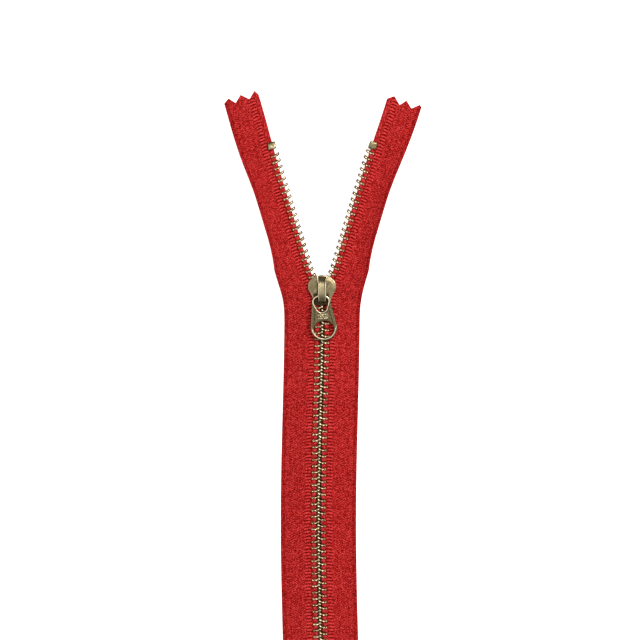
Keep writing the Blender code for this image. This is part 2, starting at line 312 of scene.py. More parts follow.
HALF_THICKNESS = 0.24
BACK_LIMIT = 0.9        # the bead stands out no further than this on the tape's back
INNER_EDGE = 0.72
BEAD_CENTRE = 1.6
BEAD_RADIUS = 0.88
BEAD_AT_TOOTH = 0.66    # half height of the bead, which swells between two teeth
BEAD_SWELL = 0.26
PLAIN_BEAD = 0.42       # the same beyond the stops
BAND_EDGE = 2.5         # where the bead ends and the ribs begin
FIELD_EDGE = 5.1
RIB_PITCH = PITCH / 2
RIB_START, RIB_STOP = 2.85, 4.95
RIB_HEIGHT = 0.22
BAND_WIDTH = 1.8        # of one herringbone stripe
TWILL_PITCH = 0.86
TWILL_HEIGHT = 0.032
SELVAGE = 12.35
SELVAGE_PITCH = 0.75
RIM = 13.2              # past this the tape thins out to its edge
STITCH_PITCH = 1.5      # of the stitches along the bead beyond the stops
ROW = PITCH / 12


def columns():
    """Where the tape's lengthwise lines of vertices run: close over the bead and ribs, and at both rims."""
    bead = INNER_EDGE + (BAND_EDGE - INNER_EDGE) * (0.5 - 0.5 * np.cos(np.linspace(0, np.pi, 11)))
    ribs = np.linspace(BAND_EDGE, FIELD_EDGE, 14)[1:]
    field = np.linspace(FIELD_EDGE, RIM, 40)[1:]
    rim = np.array([13.3, 13.38, 13.43, TAPE_EDGE])
    return np.concatenate([bead, ribs, field, rim])


def tooth_places(word):
    """Middles of all the teeth on one tape."""
    pivot = PIVOT_Y[word]
    above = pivot + PITCH / 2 + PITCH * np.arange(ARM_TEETH)
    below = pivot - PITCH / 2 - PITCH * np.arange(STEM_TEETH)
    return np.concatenate([below[::-1], above])


def speckle(x, s, cell, seed):
    """Smooth noise from -1 to 1 over the flat tape, with the given size of cell."""
    random = np.random.default_rng(seed)
    table = random.uniform(-1, 1, (64, 512))
    a, b = x / cell + 8, s / cell + 2048
    i, j = np.floor(a).astype(int), np.floor(b).astype(int)
    fa, fb = smooth(a - i), smooth(b - j)

    def at(p, q):
        return table[p % 64, q % 512]

    low = at(i, j) * (1 - fa) + at(i + 1, j) * fa
    high = at(i, j + 1) * (1 - fa) + at(i + 1, j + 1) * fa
    return low * (1 - fb) + high * fb


def weave(word, x, s):
    """Half thickness and tone_and_shade of the tape at each place: bead, ribs, herringbone field and selvage.
    tone_and_shade holds the weave's own pattern and flecks, and painted shade and highlight that follow its
    relief.
    """
    pivot = PIVOT_Y[word]
    toothed = between(s, BOTTOM_STOP_Y - 1, BOTTOM_STOP_Y + 1)
    toothed = toothed * (1 - between(s, TOP_STOP_Y - 1, TOP_STOP_Y + 1))
    gap = 0.5 + 0.5 * np.cos(2 * np.pi * (s - pivot) / PITCH)      # 1 between two teeth, 0 at a tooth
    round_bead = np.sqrt(np.clip(1 - ((x - BEAD_CENTRE) / BEAD_RADIUS) ** 2, 0, 1))
    bead = round_bead * (toothed * (BEAD_AT_TOOTH + BEAD_SWELL * gap) + (1 - toothed) * PLAIN_BEAD)
    on_bead = 1 - between(x, 2.3, 2.6)

    dip = 0.26 * ((x - 3.5) / 1.4) ** 2
    crest = np.abs(np.cos(np.pi * (s - pivot + dip) / RIB_PITCH))
    on_ribs = between(x, 2.6, RIB_START + 0.15) * (1 - between(x, RIB_STOP - 0.25, RIB_STOP + 0.15))

    fleck = speckle(x, s, 0.36, 11 + SIDES[word])
    blur = speckle(x, s, 1.3, 21 + SIDES[word])
    stripe = (x - RIB_STOP) / BAND_WIDTH
    lean = 2 * np.abs(stripe / 2 - np.floor(stripe / 2 + 0.5))
    twill = np.cos(2 * np.pi * (s + 0.7 * BAND_WIDTH * lean) / TWILL_PITCH + 0.4 * blur)
    seam = np.exp(-(((stripe + 0.5) % 1.0 - 0.5) * BAND_WIDTH / 0.16) ** 2)
    on_field = between(x, RIB_STOP, RIB_STOP + 0.3) * (1 - between(x, SELVAGE - 0.2, SELVAGE + 0.1))
    on_selvage = between(x, SELVAGE - 0.1, SELVAGE + 0.2)
    groove = np.exp(-((x - SELVAGE) / 0.16) ** 2)
    cross = np.cos(2 * np.pi * s / SELVAGE_PITCH)

    thinned = ((x - RIM) / (TAPE_EDGE - RIM)).clip(0, 1)
    base = HALF_THICKNESS * np.sqrt(np.clip(1 - thinned ** 2, 0, 1))
    relief = on_ribs * (RIB_HEIGHT * crest - 0.06) + on_field * TWILL_HEIGHT * (twill - 0.6 * seam)
    relief += on_selvage * 0.04 * cross - 0.1 * groove + 0.03 * fleck
    body = base + relief * np.minimum(1, base / HALF_THICKNESS)
    valley = np.exp(-((x - 2.55) / 0.2) ** 2)
    half = np.maximum(bead, body * (1 - 0.2 * valley) * between(x, 1.5, 2.3))

    # Painted light and shade: rib crests are painted lighter and the valleys between ribs darker; the twill
    # and its seams are partly the weave's pattern and partly painted shade of their relief.
    tone_and_shade = 0.5 + on_ribs * (1.15 * crest - 0.72) + on_field * (0.22 * twill - 0.10 * seam)
    # Painted shade: the groove inside the selvage is painted darker.
    tone_and_shade += on_selvage * 0.12 * cross - 0.22 * groove - 0.1 * on_selvage
    # Painted highlight: the bead's bulges between the teeth are painted lighter than the bead at the teeth.
    lumps = 0.30 * gap * toothed - 0.06 * toothed
    thread = 0.35 + 0.35 * np.cos(2 * np.pi * s / STITCH_PITCH)
    stitch = (1 - toothed) * np.exp(-((x - BEAD_LINE) / 0.16) ** 2) * thread
    tone_and_shade = tone_and_shade * (1 - on_bead) + on_bead * (0.55 + lumps - 0.5 * stitch)
    # The flecks are the weave's own random tone; the valley between bead and ribs is painted darker, painted
    # shade.
    tone_and_shade += 0.10 * fleck * (1 - 0.5 * on_bead) - 0.14 * valley
    return half, tone_and_shade


# The zigzag of each cut end, as (from the inner edge, past the tape's end).
PINKING = {
    "left": ((0.0, -1.9), (1.0, 0.0), (3.6, -2.4), (6.2, 0.0), (8.7, -2.3), (10.7, 0.0), (12.8, -1.4)),
    "right": ((0.0, -1.65), (2.25, 0.0), (5.0, -2.5), (6.85, -0.3), (9.4, -2.5), (11.8, -0.4), (12.8, -1.1)),
}


def pinked(word, x):
    """How far the cut end falls short of its peaks at each distance from the tape's inner edge."""
    steps = np.array(PINKING[word])
    return np.interp(x - INNER_EDGE, steps[:, 0], steps[:, 1])


def tape_piece(name, word, low, high, pinked_low, pinked_high):
    """One length of tape from low to high, with the bead, and with a zigzag cut end where it is pinked."""
    x = columns()
    if pinked_low or pinked_high:
        corners = INNER_EDGE + np.array(PINKING[word])[:, 0]
        x = np.unique(np.concatenate([x, corners[corners < TAPE_EDGE]]))
    rows = int(round((high - low) / ROW)) + 1
    share = np.linspace(0, 1, rows)[:, None]
    bottom = low - (pinked(word, x) if pinked_low else 0 * x)
    top = high + (pinked(word, x) if pinked_high else 0 * x)
    s = bottom[None, :] * (1 - share) + top[None, :] * share
    wide = np.broadcast_to(x, s.shape)
    half, tone_and_shade = weave(word, wide, s)
    upper = lay_out(word, wide.ravel(), s.ravel(), half.ravel())
    lower = lay_out(word, wide.ravel(), s.ravel(), -np.minimum(half, BACK_LIMIT).ravel())
    faces = grid_faces(rows, len(x))
    piece = make_piece(name, np.concatenate([upper, lower]), faces, RED_WEAVE, SIDES[word] < 0)
    store(piece, "tone_and_shade", np.tile(tone_and_shade.ravel(), 2))
    store_places(piece, "tape_place", np.tile(wide.ravel(), 2), np.tile(s.ravel(), 2))
    return piece


# ---------------------------------------------------------------- teeth

BRASS_ROUGHNESS = 0.36
GRAIN_SIZE = (0.28, 4.0, 4.0)   # of the brushed marks: across them, along them and in depth


def brass_material(name, colours, mottle_size, mottle_share, grain_angle=None):
    """Antique brass: dark in the hollows, lighter where the wear_and_painted_light value is high, mottled,
    and brushed along grain_angle where one is given. That value holds rubbed wear and also painted highlights
    and shade."""
    made, shader, add, link = new_material(name)
    shader.inputs["Metallic"].default_value = 1.0
    wear_and_painted_light = add("ShaderNodeAttribute", attribute_name="wear_and_painted_light")
    place_in = add("ShaderNodeTexCoord")
    mottle = add("ShaderNodeTexNoise")
    mottle.inputs["Scale"].default_value = 1 / (mottle_size * MM)
    mottle.inputs["Detail"].default_value = 4.0
    link(place_in, "Object", mottle, "Vector")

    def added(value, output, texture, share):
        """The value, shifted up or down by a share of the texture."""
        step = add("ShaderNodeMath", operation="SUBTRACT")
        link(texture, "Fac", step, 0)
        step.inputs[1].default_value = 0.5
        total = times_plus(add, link, step, "Value", share, 0.0)
        link(value, output, total, 2)
        return total

    relief = mottle
    total = added(wear_and_painted_light, "Fac", mottle, mottle_share)
    if grain_angle is not None:
        turned = add("ShaderNodeMapping")
        turned.inputs["Rotation"].default_value = (0, 0, grain_angle)
        link(place_in, "Object", turned, "Vector")
        stretched = add("ShaderNodeMapping")
        stretched.inputs["Scale"].default_value = tuple(1 / (size * MM) for size in GRAIN_SIZE)
        link(turned, "Vector", stretched, "Vector")
        brushed = add("ShaderNodeTexNoise")
        brushed.inputs["Scale"].default_value = 1.0
        brushed.inputs["Detail"].default_value = 3.0
        link(stretched, "Vector", brushed, "Vector")
        total = added(total, "Value", brushed, 0.85)
        relief = brushed
    coloured(add, link, total, colours, shader)
    rough = times_plus(add, link, total, "Value", -0.16, BRASS_ROUGHNESS + 0.08)
    link(rough, "Value", shader, "Roughness")
    bumped(add, link, relief, "Fac", 0.5, 0.04, shader)
    return made


TOOTH_COLOURS = ((0.050, 0.026, 0.010, 1), (0.35, 0.24, 0.115, 1), (0.68, 0.53, 0.33, 1))
SLIDER_COLOURS = ((0.045, 0.033, 0.015, 1), (0.225, 0.182, 0.096, 1), (0.72, 0.60, 0.39, 1))
STRAP_COLOURS = ((0.080, 0.060, 0.030, 1), (0.33, 0.275, 0.16, 1), (0.90, 0.76, 0.50, 1))
PULL_COLOURS = ((0.060, 0.036, 0.014, 1), (0.225, 0.180, 0.095, 1), (0.95, 0.82, 0.56, 1))
TOOTH_BRASS = brass_material("tooth_brass", TOOTH_COLOURS, 1.0, 0.5)
SLIDER_BRASS = brass_material("slider_brass", SLIDER_COLOURS, 1.4, 0.35, math.radians(38))
STRAP_BRASS = brass_material("strap_brass", STRAP_COLOURS, 1.4, 0.35, 0.0)
PULL_BRASS = brass_material("pull_brass", PULL_COLOURS, 0.55, 0.9)

# Upper half of a tooth seen along the chain, as (x, h): throat, leg, knob, dent, shank, neck and round head.
TOOTH_PROFILE = (
    (0.75, 0.0), (0.82, 0.38), (1.05, 0.58), (1.6, 0.6), (2.38, 0.6), (2.5, 0.72), (2.54, 0.95),
    (2.44, 1.18), (2.24, 1.28), (2.06, 1.2), (1.92, 1.06), (1.74, 1.03), (1.52, 1.14), (1.22, 1.24),
    (0.92, 1.18), (0.68, 1.02), (0.46, 0.98), (0.22, 1.06), (-0.04, 1.08), (-0.3, 0.98), (-0.5, 0.74),
    (-0.62, 0.4), (-0.65, 0.12),
)
TOOTH_LAYERS = (-80, -55, -28, 0, 28, 55, 80)   # round the tooth's edge, in degrees
TOOTH_ROUND = 0.26      # radius of that edge
TOOTH_BEND = 0.5        # how fast the head climbs up the tape
# Half a tooth's thickness along the chain, as (x, s).
TOOTH_STATIONS = ((-0.65, 0.26), (-0.5, 0.38), (-0.1, 0.46), (0.3, 0.42), (0.65, 0.31), (1.2, 0.35),
                  (1.85, 0.3), (2.2, 0.37), (2.54, 0.33))


def tooth_mesh():
    """Points (x, s, h), faces and wear_and_painted_light of one tooth, whose head bends up the tape."""
    upper = np.array(TOOTH_PROFILE)
    lower = upper[::-1][:-1] * (1, -1)
    outline = np.concatenate([upper, lower])
    tangent = np.roll(outline, -1, axis=0) - np.roll(outline, 1, axis=0)
    normal = np.stack([tangent[:, 1], -tangent[:, 0]], axis=-1)
    normal /= np.linalg.norm(normal, axis=1)[:, None]
    stations = np.array(TOOTH_STATIONS)
    half = np.interp(outline[:, 0], stations[:, 0], stations[:, 1])
    points, wear_and_painted_light = [], []
    for degrees in TOOTH_LAYERS:
        angle = math.radians(degrees)
        inset = TOOTH_ROUND * (1 - math.cos(angle))
        x = outline[:, 0] + normal[:, 0] * inset
        h = outline[:, 1] + normal[:, 1] * inset
        bend = TOOTH_BEND * np.maximum(1.0 - outline[:, 0], 0)
        low_head = between(0.6 - outline[:, 0], 0, 0.4) * between(0.35 - outline[:, 1], 0, 0.3)
        broad = half + 0.14 * low_head
        s = bend - 0.25 + broad * math.sin(angle) / math.sin(math.radians(TOOTH_LAYERS[-1]))
        points.append(np.stack([x, s, h], axis=-1))
        high = np.abs(outline[:, 1])
        # The high parts of the legs are painted lighter, as rubbed wear and painted highlight, and the head's
        # top has a painted highlight; the dent and the neck are darker; the rounded sides towards the next
        # teeth are painted darker, painted shade.
        shine = 0.15 + 0.75 * between(high, 0.7, 1.15) * between(outline[:, 0], -1.6, 0.6)
        shine -= 0.5 * np.exp(-((outline[:, 0] - 1.83) / 0.16) ** 2)
        shine -= 0.35 * np.exp(-((outline[:, 0] - 0.62) / 0.18) ** 2)
        shine += 0.3 * np.exp(-(outline[:, 0] / 0.3) ** 2) * between(high, 0.7, 1.0)
        wear_and_painted_light.append(shine - 0.5 * (1 - math.cos(angle)))
    faces = loft_faces(len(TOOTH_LAYERS), len(outline))
    return np.concatenate(points), faces, np.concatenate(wear_and_painted_light)


TOOTH_POINTS, TOOTH_FACES, TOOTH_WEAR_AND_PAINTED_LIGHT = tooth_mesh()


def teeth_piece(name, word, low, high):
    """All the teeth of one length of tape, each with its own small difference in shade and lie."""
    chosen = [s for s in tooth_places(word) if low <= s < high]
    random = np.random.default_rng(len(name) * 1000 + int(abs(low)))
    points, faces, wear_and_painted_light = [], [], []
    for middle in chosen:
        shift = random.normal(0, 0.02, 2)
        start = sum(len(part) for part in points)
        x = TOOTH_POINTS[:, 0] + shift[0]
        s = TOOTH_POINTS[:, 1] * random.normal(1, 0.06) + middle + shift[1]
        points.append(lay_out(word, x, s, TOOTH_POINTS[:, 2]))
        faces.extend(tuple(start + n for n in face) for face in TOOTH_FACES)
        wear_and_painted_light.append(TOOTH_WEAR_AND_PAINTED_LIGHT + random.normal(0, 0.1))
    piece = make_piece(name, np.concatenate(points), faces, TOOTH_BRASS, SIDES[word] > 0)
    piece.data.set_sharp_from_angle(angle=math.radians(55))
    store(piece, "wear_and_painted_light", np.concatenate(wear_and_painted_light))
    return piece


def rounded_block(name, word, middle, half, finish, power, seed):
    """A stop clamped on the bead: a block with hammered faces and round edges, which a higher power makes
    tighter. middle and half are (x, s, h)."""
    work = bmesh.new()
    bmesh.ops.create_cube(work, size=2.0)
    bmesh.ops.subdivide_edges(work, edges=work.edges, cuts=11, use_grid_fill=True)
    random = np.random.default_rng(seed)
    waves = random.normal(0, 1, (6, 3)) * 2.4
    phases = random.uniform(0, 6.28, 6)
    cube = np.array([vertex.co for vertex in work.verts])
    length = (np.abs(cube) ** power).sum(axis=1) ** (1 / power)
    ball = cube / length[:, None]
    dents = sum(np.sin(ball @ wave + phase) for wave, phase in zip(waves, phases)) / 6
    shaped = ball * (1 + 0.05 * dents[:, None]) * np.array(half) + np.array(middle)
    faces = [tuple(vertex.index for vertex in face.verts) for face in work.faces]
    work.free()
    placed = lay_out(word, shaped[:, 0], shaped[:, 1], shaped[:, 2])
    piece = make_piece(name, placed, faces, finish, SIDES[word] < 0)
    store(piece, "wear_and_painted_light", 0.36 + 0.5 * dents + 0.35 * (length - 1.05))
    return piece


# ---------------------------------------------------------------- flat metal parts with relief

def arc(centre, radii, start, stop, steps, power=2.0):
    """Points of a superellipse's arc between two angles in degrees; a power of 2 gives a plain ellipse."""
    angle = np.radians(np.linspace(start, stop, steps + 1))
    across, up = np.cos(angle), np.sin(angle)
    return np.stack([
        centre[0] + radii[0] * np.sign(across) * np.abs(across) ** (2 / power),
        centre[1] + radii[1] * np.sign(up) * np.abs(up) ** (2 / power)], axis=-1)


def spaced(outline, step):
    """The closed outline again, with points an even step apart."""
    ring = np.concatenate([outline, outline[:1]])
    run = np.concatenate([[0], np.cumsum(np.linalg.norm(np.diff(ring, axis=0), axis=1))])
    count = max(12, int(run[-1] / step))
    at = np.linspace(0, run[-1], count, endpoint=False)
    return np.stack([np.interp(at, run, ring[:, n]) for n in (0, 1)], axis=-1)


def softened(outline, times):
    """Rounds an evenly spaced outline's corners by averaging neighbours."""
    for _ in range(times):
        outline = (np.roll(outline, 1, axis=0) + 2 * outline + np.roll(outline, -1, axis=0)) / 4
    return outline


def distance_to(points, outline):
    """Distance from each point to a closed outline."""
    a = outline
    b = np.roll(outline, -1, axis=0)
    best = np.full(len(points), 1e9)
    for start, stop in zip(a, b):
        run = stop - start
        t = np.clip((points - start) @ run / max(run @ run, 1e-12), 0, 1)
        best = np.minimum(best, np.linalg.norm(points - (start + t[:, None] * run), axis=1))
    return best


def inside(points, outline):
    """Whether each point is inside a closed outline."""
    a = outline
    b = np.roll(outline, -1, axis=0)
    odd = np.zeros(len(points), bool)
    for start, stop in zip(a, b):
        crosses = (start[1] > points[:, 1]) != (stop[1] > points[:, 1])
        with np.errstate(divide="ignore", invalid="ignore"):
            at = start[0] + (points[:, 1] - start[1]) * (stop[0] - start[0]) / (stop[1] - start[1])
        odd ^= crosses & (points[:, 0] < at)
    return odd


def within(points, outer, holes):
    """Whether each point is inside the outer outline and in none of the holes."""
    kept = inside(points, outer)
    for hole in holes:
        kept &= ~inside(points, hole)
    return kept


FRINGE = (0.03, 0.09)   # how far from a plate's edges their own lines of points are, so that they look round


def plate_points(outer, holes, step):
    """The points of all the outlines, then the lines beside them, then a staggered grid over the rest."""
    rings = [outer] + holes
    low, high = outer.min(axis=0), outer.max(axis=0)
    across = np.arange(low[0], high[0], step)
    along = np.arange(low[1], high[1], step)
    grid = np.stack(np.meshgrid(across, along), axis=-1).reshape(-1, 2)
    grid[:, 0] += 0.5 * step * (np.round((grid[:, 1] - low[1]) / step).astype(int) % 2)
    kept = within(grid, outer, holes)
    for ring in rings:
        kept &= distance_to(grid, ring) > 0.45 * step
    fringe = []
    for ring in rings:
        tangent = np.roll(ring, -1, axis=0) - np.roll(ring, 1, axis=0)
        normal = np.stack([-tangent[:, 1], tangent[:, 0]], axis=-1)
        normal /= np.linalg.norm(normal, axis=1)[:, None]
        for reach in FRINGE:
            for way in (-1, 1):
                moved = ring + way * reach * normal
                good = within(moved, outer, holes)
                for other in rings:
                    good &= distance_to(moved, other) > 0.8 * reach
                fringe.append(moved[good])
    return np.concatenate(rings + fringe + [grid[kept]])


def relief_plate(name, outer, holes, heights, finish, step):
    """A closed plate over an outline with holes. heights(points, distances) gives its top, bottom and
    wear_and_painted_light, and distances holds how far each point is from the outer edge and from each hole."""
    rings = [outer] + holes
    points = plate_points(outer, holes, step)
    edges = []
    rim = 0
    for ring in rings:
        count = len(ring)
        edges.extend((rim + n, rim + (n + 1) % count) for n in range(count))
        rim += count
    meshed = geometry.delaunay_2d_cdt([Vector(p) for p in points], edges, [], 0, 1e-7, False)
    coords = np.array([(c[0], c[1]) for c in meshed[0]])
    assert len(coords) == len(points), name
    triangles = np.array([tuple(t) for t in meshed[2]])
    triangles = triangles[within(coords[triangles].mean(axis=1), outer, holes)]
    a, b, c = (coords[triangles[:, n]] for n in range(3))
    area = (b[:, 0] - a[:, 0]) * (c[:, 1] - a[:, 1]) - (b[:, 1] - a[:, 1]) * (c[:, 0] - a[:, 0])
    triangles[area < 0] = triangles[area < 0][:, ::-1]
    distances = [distance_to(coords, ring) for ring in rings]
    top, bottom, wear_and_painted_light = heights(coords, distances)
    middle = 0.5 * (top[:rim] + bottom[:rim])
    total = len(coords)
    lower_of = np.arange(total) + total
    lower_of[:rim] = np.arange(rim)
    top = top.copy()
    top[:rim] = middle
    all_points = np.concatenate([np.column_stack([coords, top]), np.column_stack([coords, bottom])])
    faces = triangles.tolist() + lower_of[triangles[:, ::-1]].tolist()
    used = np.ones(2 * total, bool)
    used[total:total + rim] = False
    renumber = np.cumsum(used) - 1
    faces = [tuple(int(renumber[n]) for n in face) for face in faces]
    piece = make_piece(name, all_points[used], faces, finish)
    store(piece, "wear_and_painted_light", np.concatenate([wear_and_painted_light, wear_and_painted_light])[used])
    return piece


def rounded_edge(distance, radius, thickness):
    """Half height of a plate whose edge is rounded: 0 at the edge and thickness past the radius."""
    near = np.clip(1 - distance / radius, 0, 1)
    return thickness * np.sqrt(np.clip(1 - near ** 2, 0, 1))


# ---------------------------------------------------------------- pull

PULL_PLATE = 0.27       # half thickness of its plate, before borders, marks and rims
PULL_BORDER = 1.15      # width of the raised border
RING_FROM, RING_TO = 11.2, 13.0     # the plate turns into a ring between these, measured from its upper edge
MARK_ROWS = 3
MARK_ACROSS, MARK_DOWN = 0.52, 0.62     # from one raised dot to the next
FIRST_MARKS = 7.35      # from the upper edge to the first row of them
PULL_BACK = 0.45        # the back stands out no further than this


def pull_marks(points):
    """Staggered rows of raised dots: 1 on a dot and 0 off it."""
    u, v = points[:, 0], points[:, 1]
    marks = np.zeros(len(points))
    for row in range(MARK_ROWS):
        odd = row % 2
        for column in range(-3 + odd, 4):
            aside = (u - MARK_ACROSS * (column + 0.5 * odd)) / 0.2
            below = (v + FIRST_MARKS + MARK_DOWN * row) / 0.24
            marks = np.maximum(marks, between(1.5 - np.hypot(aside, below), 0, 1))
    return marks


def pull_heights(points, distances):
    """Top, bottom and wear_and_painted_light of the pull at each point."""
    outside, to_eye, to_hole = distances
    edge = np.minimum(np.minimum(outside, to_eye), to_hole)
    border = between(PULL_BORDER - outside, 0, 0.3)
    eye_rim = np.exp(-((to_eye - 0.3) / 0.2) ** 2)
    ring = between(-points[:, 1], RING_FROM, RING_TO)
    marks = pull_marks(points)

    plate = PULL_PLATE + 0.18 * border * (1 - eye_rim) + 0.26 * eye_rim
    bar = 0.2 + 0.42 * np.sqrt(np.clip(1 - ((outside - 0.5) / 0.62) ** 2, 0, 1))
    half = plate * (1 - ring) + bar * ring + 0.13 * marks
    half = np.minimum(half, rounded_edge(edge, 0.3, 1.0))

    # Painted highlights: a thin line along the outer edge and another inside the border, the eye's rim and a
    # line round the ring; painted shade in the groove inside the border and down the rounded edges.
    lit_edge = np.exp(-((outside - 0.24) / 0.1) ** 2) + 0.7 * np.exp(-((outside - 0.95) / 0.12) ** 2)
    wear_and_painted_light = 0.34 + 0.30 * lit_edge * (1 - ring) + 0.85 * eye_rim + 0.3 * marks
    wear_and_painted_light += ring * (0.05 + 0.55 * np.exp(-((outside - 0.55) / 0.16) ** 2))
    wear_and_painted_light -= 0.25 * np.exp(-((outside - 1.25) / 0.15) ** 2) * (1 - ring)
    wear_and_painted_light -= 0.5 * between(0.2 - edge, 0, 0.12)
    return half, -np.minimum(half, PULL_BACK), wear_and_painted_light


def pull_piece():
    """The pull, drawn flat below its hinge, then tilted and turned to where it lies on the chain."""
    outer_arcs = (
        arc((0.0, -2.7), (3.28, 2.7), 180, 0, 24, 2.2),
        arc((0.0, -11.75), (4.75, 4.75), 9.4, -189.4, 40))
    eye_arcs = (
        arc((0.0, -2.7), (2.58, 1.9), 180, 0, 20, 2.6),
        arc((0.0, -4.65), (1.75, 1.6), -12, -168, 16))
    outer = softened(spaced(np.concatenate(outer_arcs), 0.15), 10)
    eye = softened(spaced(np.concatenate(eye_arcs), 0.14), 8)
    hole = spaced(arc((0.0, -12.45), (3.5, 3.1), 0, 360, 60)[:-1], 0.14)
    piece = relief_plate("ring_pull", outer, [eye, hole], pull_heights, PULL_BRASS, 0.17)
    co = np.array([vertex.co for vertex in piece.data.vertices])
    co[:, 1] += BAR_U * MM
    tilt, yaw = PULL_TILT, PULL_YAW
    turn_x = np.array([[1, 0, 0], [0, math.cos(tilt), -math.sin(tilt)], [0, math.sin(tilt), math.cos(tilt)]])
    turn_z = np.array([[math.cos(yaw), -math.sin(yaw), 0], [math.sin(yaw), math.cos(yaw), 0], [0, 0, 1]])
    co = co @ (turn_z @ turn_x).T + np.array(BAR_CENTRE) * MM
    piece.data.vertices.foreach_set("co", co.astype(np.float32).ravel())
    piece.data.update()
    return piece


# ---------------------------------------------------------------- slider

def slider_outline():
    """The shield shape of the plates."""
    right = np.array([
        (3.0, -5.3), (3.12, -4.2), (3.3, -3.0), (3.7, -2.0), (4.2, -0.9), (4.75, -0.1), (5.0, 0.5),
        (5.0, 2.1), (4.8, 2.85), (4.2, 3.6), (3.3, 4.35), (2.2, 4.9), (1.75, 5.2), (0.0, 5.35)])
    left = right[::-1][1:] * (-1, 1)
    return softened(spaced(np.concatenate([right, left]), 0.18), 3)


def slider_plate(name, low, high, dome):
    """One of the slider's two plates from low to high; its middle rises by dome."""
    middle = 0.5 * (low + high)

    def heights(points, distances):
        edge = distances[0]
        half = rounded_edge(edge, 0.28, 0.5 * (high - low))
        rise = dome * between(edge, 0.2, 1.6)
        # A painted highlight runs along the plate's edge, and painted shadow lies under the pull and under
        # the strap.
        wear_and_painted_light = 0.42 + 0.55 * np.exp(-((edge - 0.14) / 0.12) ** 2)
        painted_pull_shadow = between(-points[:, 1], 0.8, 1.8) * (1 - between(np.abs(points[:, 0] + 0.3), 2.4, 3.0))
        painted_strap_shadow = 1 - between(np.abs(points[:, 0]), 1.3, 1.7)
        wear_and_painted_light -= 0.55 * np.maximum(painted_pull_shadow, painted_strap_shadow)
        return middle + half + rise, middle - half, wear_and_painted_light

    return relief_plate(name, slider_outline(), [], heights, SLIDER_BRASS, 0.2)


FLANGE_WIDTH = 0.42
TAPE_SLOT = 1.2         # between the upper and lower flanges, for the tape
FLANGE_OVERLAP = 0.2    # how far a flange goes into its plate


def side_wall(sign):
    """Points and faces of one side's flanges, the turned edges of both plates that guide the teeth."""
    path = ((2.95, -5.2), (3.15, -3.6), (3.6, -2.2), (4.2, -0.9), (4.75, 0.1), (4.82, 1.0))
    lower = (PLATE_BACK - FLANGE_OVERLAP, TAPE_Z - 0.5 * TAPE_SLOT)
    upper = (TAPE_Z + 0.5 * TAPE_SLOT, CHANNEL_TOP + FLANGE_OVERLAP)
    points, faces = [], []
    for low, high in (lower, upper):
        start = len(points)
        for x, y in path:
            for inset, z in ((0, low), (0, high), (FLANGE_WIDTH, high), (FLANGE_WIDTH, low)):
                points.append((sign * (x - inset + 0.02), y, z))
        faces.extend(tuple(start + n for n in face) for face in loft_faces(len(path), 4))
    return points, faces


STRAP_HALF_WIDTH = 1.45
STRAP_THICKNESS = 0.55


def strap_piece():
    """The crown: a strap over the slider, lighter along a ridge on each side as rubbed wear and painted
    highlight.
    """
    path = np.array([
        (4.05, 4.9), (4.0, 5.9), (3.7, 6.5), (3.1, 6.95), (2.2, 7.25), (1.0, 7.45), (-0.4, 7.52),
        (-1.8, 7.5), (-2.8, 7.3), (-3.6, 6.9), (-4.2, 6.3), (-4.55, 5.6), (-4.68, 4.95)])
    fine = np.linspace(0, len(path) - 1, 66)
    path = np.stack([np.interp(fine, np.arange(len(path)), path[:, n]) for n in (0, 1)], axis=-1)
    for _ in range(6):
        path[1:-1] = (path[:-2] + 2 * path[1:-1] + path[2:]) / 4
    tangent = np.gradient(path, axis=0)
    tangent /= np.linalg.norm(tangent, axis=1)[:, None]
    normal = np.stack([tangent[:, 1], -tangent[:, 0]], axis=-1)
    normal *= np.sign(normal[:, 1:2] + 1e-9)
    normal[0] = (1, 0)
    section = np.linspace(-1, 1, 25)
    points, wear_and_painted_light = [], []
    for (y, z), (ny, nz) in zip(path, normal):
        width = STRAP_HALF_WIDTH - 0.12 * between(-y, 1.5, 4.5)
        painted_shade = 0.3 * between(y, 2.2, 3.6)
        for u in section:
            ridge = np.exp(-((abs(u) - 0.86) / 0.12) ** 2)
            top = 0.12 * ridge - 0.1 * (1 - between(abs(u), 0.5, 0.9)) - 0.25 * between(abs(u), 0.93, 1.0)
            points.append((u * width, y + ny * top, z + nz * top))
            # Painted highlight on the ridges; painted shade between them where the strap slopes down at its
            # upper end; the strap is also darker towards its end at negative y.
            wear_and_painted_light.append(0.36 + 0.5 * ridge - painted_shade * (1 - ridge) - 0.12 * between(-y, 1.5, 4.0))
        for u in section[::-1]:
            deep = 0.2 * between(abs(u), 0.9, 1.0) - STRAP_THICKNESS
            points.append((u * width, y + ny * deep, z + nz * deep))
            # Painted shade: the strap's underside is dark.
            wear_and_painted_light.append(0.15)
    piece = make_piece("crown_strap", points, loft_faces(len(path), 2 * len(section)), STRAP_BRASS)
    store(piece, "wear_and_painted_light", wear_and_painted_light)
    return piece


def bevelled(name, points, faces, width, wear_and_painted_light):
    """A small solid of the slider's brass, with rounded edges."""
    piece = make_piece(name, points, faces, SLIDER_BRASS)
    work = bmesh.new()
    work.from_mesh(piece.data)
    bmesh.ops.recalc_face_normals(work, faces=work.faces)
    sharp = [edge for edge in work.edges if edge.calc_face_angle(0) > 0.5]
    bmesh.ops.bevel(work, geom=sharp, offset=width * MM, segments=3, profile=0.5, affect="EDGES")
    work.to_mesh(piece.data)
    work.free()
    piece.data.shade_smooth()
    piece.data.set_sharp_from_angle(angle=math.radians(50))
    store(piece, "wear_and_painted_light", np.full(len(piece.data.vertices), wear_and_painted_light))
    return piece


def prism(outline, low, high):
    """Points and faces of an outline in the plane of the slider, extruded from low to high."""
    points = [(x, y, z) for z in (low, high) for x, y in outline]
    return points, loft_faces(2, len(outline))


